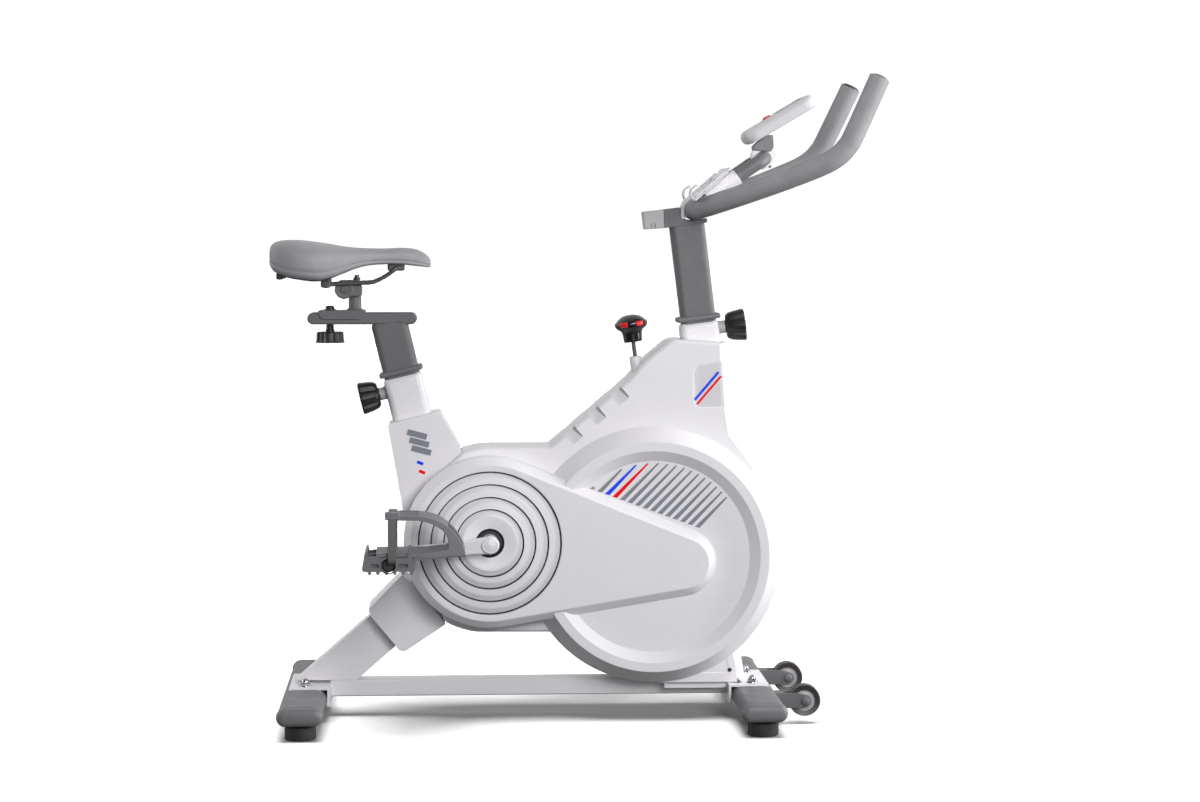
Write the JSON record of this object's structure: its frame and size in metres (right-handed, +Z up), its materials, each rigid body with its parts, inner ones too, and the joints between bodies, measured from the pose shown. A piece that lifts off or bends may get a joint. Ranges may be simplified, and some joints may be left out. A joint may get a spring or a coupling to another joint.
{
  "type": "exercise bike",
  "caption": "Upright indoor cycling bike with enclosed flywheel, belt drive, toe-cage pedals, sliding saddle, bullhorn handlebar, tilting console and push-down resistance knob.",
  "frame": {"origin": "floor level, at the middle of the bounding box", "axes": "+X forward to the handlebar, +Y to the rider's left, +Z up"},
  "size_m": [1.0041, 0.526, 1.0628],
  "materials": {
    "frame_white": "white powder coat",
    "clamp_white": "white paint",
    "crank_white": "white paint on forged arms",
    "bar_grey": "mid grey powder coat",
    "cap_grey": "moulded grey plastic",
    "shell_white": "satin white moulded shells",
    "bolt_steel": "plated steel",
    "foot_rubber": "ribbed black rubber",
    "wheel_plastic": "grey plastic wheel",
    "axle_steel": "turned steel",
    "rail_steel": "dark painted steel rod",
    "flywheel_iron": "machined rim",
    "belt_rubber": "ribbed belt",
    "pedal_grey": "moulded nylon",
    "strap_grey": "moulded strap",
    "knob_black": "black moulded grip",
    "pad_felt": "pressed wool felt",
    "saddle_cover": "grey synthetic leather over foam",
    "grip_foam": "grey foam sleeve over steel tube",
    "tray_white": "white moulding",
    "button_red": "red key"
  },
  "bodies": {
    "frame": {"floor_rail": "frame_white", "rear_strut": "frame_white", "bottom_bracket": "frame_white", "seat_tube": "frame_white", "main_tube": "frame_white", "head_tube": "frame_white", "flywheel_fork": "frame_white", "rear_stabiliser": "bar_grey", "front_stabiliser": "bar_grey", "rear_cap_right": "cap_grey", "rear_cap_left": "cap_grey", "front_cap_right": "cap_grey", "front_cap_left": "cap_grey", "seat_tube_collar": "cap_grey", "head_tube_collar": "cap_grey", "shroud_right": "shell_white", "shroud_left": "shell_white", "belt_cover": "shell_white", "crank_cover_left": "shell_white", "seat_tube_cover": "shell_white", "strut_cover": "shell_white", "rear_bolt_right": "bolt_steel", "rear_bolt_left": "bolt_steel", "front_bolt_right": "bolt_steel", "front_bolt_left": "bolt_steel", "drive_belt": "belt_rubber"},
    "crankset": {"crank_axle": "axle_steel", "crank_right": "crank_white", "crank_left": "crank_white"},
    "flywheel": {"flywheel": "flywheel_iron"},
    "pedal_right": {"pedal_right": "pedal_grey", "toe_cage_right": "pedal_grey", "toe_strap_right": "strap_grey"},
    "pedal_left": {"pedal_left": "pedal_grey", "toe_cage_left": "pedal_grey", "toe_strap_left": "strap_grey"},
    "tension_rod": {"tension_rod": "axle_steel"},
    "tension_knob": {"tension_knob": "knob_black"},
    "brake_pad": {"brake_pad": "pad_felt"},
    "seat_post": {"seat_post": "bar_grey"},
    "seat_post_knob": {"seat_post_knob": "knob_black"},
    "seat_slider": {"seat_slider": "bar_grey", "seat_clamp": "bar_grey"},
    "slider_knob": {"slider_knob": "knob_black"},
    "saddle": {"saddle": "saddle_cover", "saddle_rails": "rail_steel"},
    "handlebar_post": {"handlebar_post": "bar_grey", "handlebar": "grip_foam", "inner_loop": "bar_grey", "handlebar_clamp": "clamp_white", "phone_tray": "tray_white"},
    "handlebar_post_knob": {"handlebar_post_knob": "knob_black"},
    "console": {"console": "tray_white"},
    "console_button": {"console_button": "button_red"},
    "transport_wheel_right": {"transport_wheel_right": "wheel_plastic"},
    "transport_wheel_left": {"transport_wheel_left": "wheel_plastic"},
    "rear_foot_right": {"rear_foot_right": "foot_rubber"},
    "rear_foot_left": {"rear_foot_left": "foot_rubber"},
    "front_foot_right": {"front_foot_right": "foot_rubber"},
    "front_foot_left": {"front_foot_left": "foot_rubber"}
  },
  "joints": [
    {"name": "flywheel_spin", "type": "hinge", "parent": "frame", "child": "flywheel", "pos_m": [0.13, 0, 0.274], "axis": [0, 1, 0], "continuous": true},
    {"name": "crank_spin", "type": "hinge", "parent": "frame", "child": "crankset", "pos_m": [-0.141, 0, 0.299], "axis": [0, 1, 0], "continuous": true},
    {"name": "pedal_right_spin", "type": "hinge", "parent": "crankset", "child": "pedal_right", "pos_m": [-0.304, -0.2025, 0.2815], "axis": [0, 1, 0], "continuous": true},
    {"name": "pedal_left_spin", "type": "hinge", "parent": "crankset", "child": "pedal_left", "pos_m": [0.022, 0.2025, 0.3165], "axis": [0, 1, 0], "continuous": true},
    {"name": "brake_push", "type": "slide", "parent": "frame", "child": "tension_rod", "axis": [0.1305, 0, -0.9914], "range_m": [0, 0.0035], "stiffness_N_per_m": 3000, "springref_m": -0.002},
    {"name": "tension_turn", "type": "hinge", "parent": "tension_rod", "child": "tension_knob", "pos_m": [0.104, 0, 0.6], "axis": [0.1305, 0, -0.9914], "range_deg": [0, 720]},
    {"name": "pad_feed", "type": "slide", "parent": "tension_rod", "child": "brake_pad", "axis": [0.1305, 0, -0.9914], "range_m": [0, 0.0031]},
    {"name": "seat_height", "type": "slide", "parent": "frame", "child": "seat_post", "axis": [-0.2334, 0, 0.9724], "range_m": [-0.045, 0.1]},
    {"name": "seat_knob_pull", "type": "slide", "parent": "frame", "child": "seat_post_knob", "axis": [-0.9724, 0, -0.2334], "range_m": [0, 0.009], "stiffness_N_per_m": 900, "springref_m": -0.002},
    {"name": "seat_fore_aft", "type": "slide", "parent": "seat_post", "child": "seat_slider", "axis": [1, 0, 0], "range_m": [-0.015, 0.015]},
    {"name": "slider_knob_turn", "type": "hinge", "parent": "seat_slider", "child": "slider_knob", "pos_m": [-0.404, 0, 0.6245], "axis": [0, 0, 1], "range_deg": [-180, 180]},
    {"name": "saddle_tilt", "type": "hinge", "parent": "seat_slider", "child": "saddle", "pos_m": [-0.38, 0, 0.713], "axis": [0, 1, 0], "range_deg": [-8, 8]},
    {"name": "handlebar_height", "type": "slide", "parent": "frame", "child": "handlebar_post", "axis": [-0.1219, 0, 0.9925], "range_m": [-0.05, 0.06]},
    {"name": "handlebar_knob_pull", "type": "slide", "parent": "frame", "child": "handlebar_post_knob", "axis": [0.9925, 0, 0.1219], "range_m": [0, 0.009], "stiffness_N_per_m": 900, "springref_m": -0.002},
    {"name": "console_tilt", "type": "hinge", "parent": "handlebar_post", "child": "console", "pos_m": [0.317, 0, 0.9305], "axis": [0, 1, 0], "range_deg": [-15, 15]},
    {"name": "button_press", "type": "slide", "parent": "console", "child": "console_button", "axis": [0.5075, 0, -0.8616], "range_m": [0, 0.0012], "stiffness_N_per_m": 400, "springref_m": -0.0005},
    {"name": "transport_right_spin", "type": "hinge", "parent": "frame", "child": "transport_wheel_right", "pos_m": [0.3755, -0.12, 0.0395], "axis": [0, 1, 0], "continuous": true},
    {"name": "transport_left_spin", "type": "hinge", "parent": "frame", "child": "transport_wheel_left", "pos_m": [0.3755, 0.12, 0.0395], "axis": [0, 1, 0], "continuous": true},
    {"name": "rear_foot_right_turn", "type": "hinge", "parent": "frame", "child": "rear_foot_right", "pos_m": [-0.446, -0.225, 0.014], "axis": [0, 0, 1], "range_deg": [-180, 180]},
    {"name": "rear_foot_left_turn", "type": "hinge", "parent": "frame", "child": "rear_foot_left", "pos_m": [-0.446, 0.225, 0.014], "axis": [0, 0, 1], "range_deg": [-180, 180]},
    {"name": "front_foot_right_turn", "type": "hinge", "parent": "frame", "child": "front_foot_right", "pos_m": [0.296, -0.225, 0.014], "axis": [0, 0, 1], "range_deg": [-180, 180]},
    {"name": "front_foot_left_turn", "type": "hinge", "parent": "frame", "child": "front_foot_left", "pos_m": [0.296, 0.225, 0.014], "axis": [0, 0, 1], "range_deg": [-180, 180]}
  ],
  "couplings": [
    {"joint": "crank_spin", "follows": "flywheel_spin", "ratio": 0.25},
    {"joint": "pad_feed", "follows": "tension_turn", "m_per_rad": 0.00023873}
  ]
}
